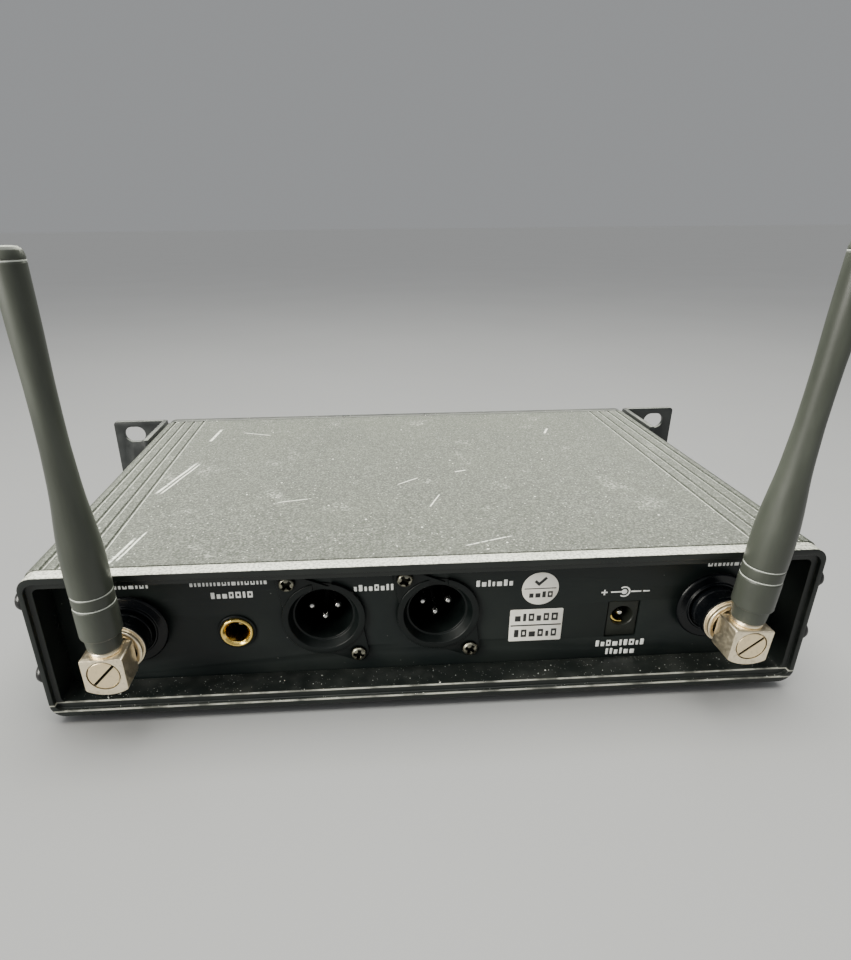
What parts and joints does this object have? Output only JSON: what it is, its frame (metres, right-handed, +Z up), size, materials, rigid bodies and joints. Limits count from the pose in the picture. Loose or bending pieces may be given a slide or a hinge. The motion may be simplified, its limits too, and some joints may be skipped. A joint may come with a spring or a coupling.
{
  "type": "wireless microphone receiver",
  "caption": "Half-rack wireless receiver with a grooved case, rack ears, a recessed rear connector panel and swivelling whip antennas on right-angle bayonet plugs.",
  "frame": {"origin": "under the middle of the unit, in the plane that its rubber feet stand on", "axes": "+X runs across the unit towards channel B, +Y points out of the rear connector panel, +Z is up"},
  "size_m": [0.259, 0.161, 0.1245],
  "materials": {
    "case_coat": "charcoal textured powder coat on extruded aluminium",
    "bezel_plastic": "satin black moulding",
    "panel_paint": "fine matte black paint on sheet metal",
    "ear_paint": "black textured paint on folded steel",
    "window_plastic": "smoked glossy acrylic",
    "connector_plastic": "black moulded nylon",
    "control_plastic": "fine-grained black plastic",
    "socket_black": "black-finished brass turning with a bright rear edge",
    "nickel_plate": "warm nickel plate with fine wear",
    "whip_rubber": "semi-matte moulded rubber",
    "foot_rubber": "soft matte rubber",
    "screw_steel": "dark zinc plate",
    "gold_plate": "polished gold plate",
    "tinplate": "dull tinplate",
    "bare_aluminium": "plain mill finish",
    "board_laminate": "green solder mask on glass laminate",
    "cable_jacket": "grey cable jacket"
  },
  "bodies": {
    "case": {"case_top": "case_coat", "case_bottom": "case_coat", "rear_bezel": "bezel_plastic", "front_bezel": "bezel_plastic", "rear_panel": "panel_paint", "front_panel": "panel_paint", "rack_ear_a": "ear_paint", "rack_ear_b": "ear_paint", "indicator_window": "window_plastic", "xlr_a_shell": "connector_plastic", "xlr_b_shell": "connector_plastic", "xlr_a_insert": "connector_plastic", "xlr_b_insert": "connector_plastic", "line_jack_housing": "connector_plastic", "dc_jack": "connector_plastic", "power_switch": "connector_plastic", "volume_pot_a": "connector_plastic", "volume_pot_b": "connector_plastic", "bnc_a_socket": "socket_black", "bnc_b_socket": "socket_black", "foot_rear_a": "foot_rubber", "foot_rear_b": "foot_rubber", "foot_front_a": "foot_rubber", "foot_front_b": "foot_rubber", "bezel_screw_a_upper": "screw_steel", "bezel_screw_a_lower": "screw_steel", "bezel_screw_b_upper": "screw_steel", "bezel_screw_b_lower": "screw_steel", "ear_screw_a_upper": "screw_steel", "ear_screw_a_lower": "screw_steel", "ear_screw_b_upper": "screw_steel", "ear_screw_b_lower": "screw_steel", "xlr_a_screw_upper": "screw_steel", "xlr_a_screw_lower": "screw_steel", "xlr_b_screw_upper": "screw_steel", "xlr_b_screw_lower": "screw_steel", "line_jack_bushing": "gold_plate", "radio_can_a": "tinplate", "radio_can_b": "tinplate", "regulator_heatsink": "bare_aluminium", "main_board": "board_laminate", "front_board": "board_laminate", "coax_a": "cable_jacket", "coax_b": "cable_jacket", "ribbon_cable": "cable_jacket"},
    "antenna_a": {"antenna_a_elbow": "nickel_plate", "antenna_a_cap": "nickel_plate", "antenna_a_ferrule": "nickel_plate", "antenna_a_whip": "whip_rubber"},
    "coupling_nut_a": {"bnc_a_nut": "socket_black"},
    "volume_control_a": {"volume_knob_a": "control_plastic", "volume_shaft_a": "bare_aluminium"},
    "antenna_b": {"antenna_b_elbow": "nickel_plate", "antenna_b_cap": "nickel_plate", "antenna_b_ferrule": "nickel_plate", "antenna_b_whip": "whip_rubber"},
    "coupling_nut_b": {"bnc_b_nut": "socket_black"},
    "volume_control_b": {"volume_knob_b": "control_plastic", "volume_shaft_b": "bare_aluminium"},
    "power_key": {"power_button": "control_plastic"}
  },
  "joints": [
    {"name": "antenna_a_swivel", "type": "hinge", "parent": "case", "child": "antenna_a", "pos_m": [-0.0821, 0.0754, 0.025], "axis": [0, 1, 0], "range_deg": [-86.5, 93.5]},
    {"name": "antenna_b_swivel", "type": "hinge", "parent": "case", "child": "antenna_b", "pos_m": [0.0835, 0.0754, 0.025], "axis": [0, 1, 0], "range_deg": [-91, 89]},
    {"name": "coupling_nut_a_turn", "type": "hinge", "parent": "case", "child": "coupling_nut_a", "pos_m": [-0.0821, 0.065, 0.025], "axis": [0, 1, 0], "range_deg": [0, 90]},
    {"name": "coupling_nut_b_turn", "type": "hinge", "parent": "case", "child": "coupling_nut_b", "pos_m": [0.0835, 0.065, 0.025], "axis": [0, 1, 0], "range_deg": [0, 90]},
    {"name": "volume_a_turn", "type": "hinge", "parent": "case", "child": "volume_control_a", "pos_m": [0.05, -0.0765, 0.025], "axis": [0, -1, 0], "range_deg": [-150, 150]},
    {"name": "volume_b_turn", "type": "hinge", "parent": "case", "child": "volume_control_b", "pos_m": [0.082, -0.0765, 0.025], "axis": [0, -1, 0], "range_deg": [-150, 150]},
    {"name": "power_button_press", "type": "slide", "parent": "case", "child": "power_key", "axis": [0, 1, 0], "range_m": [0, 0.0025], "stiffness_N_per_m": 800, "springref_m": -0.001}
  ]
}
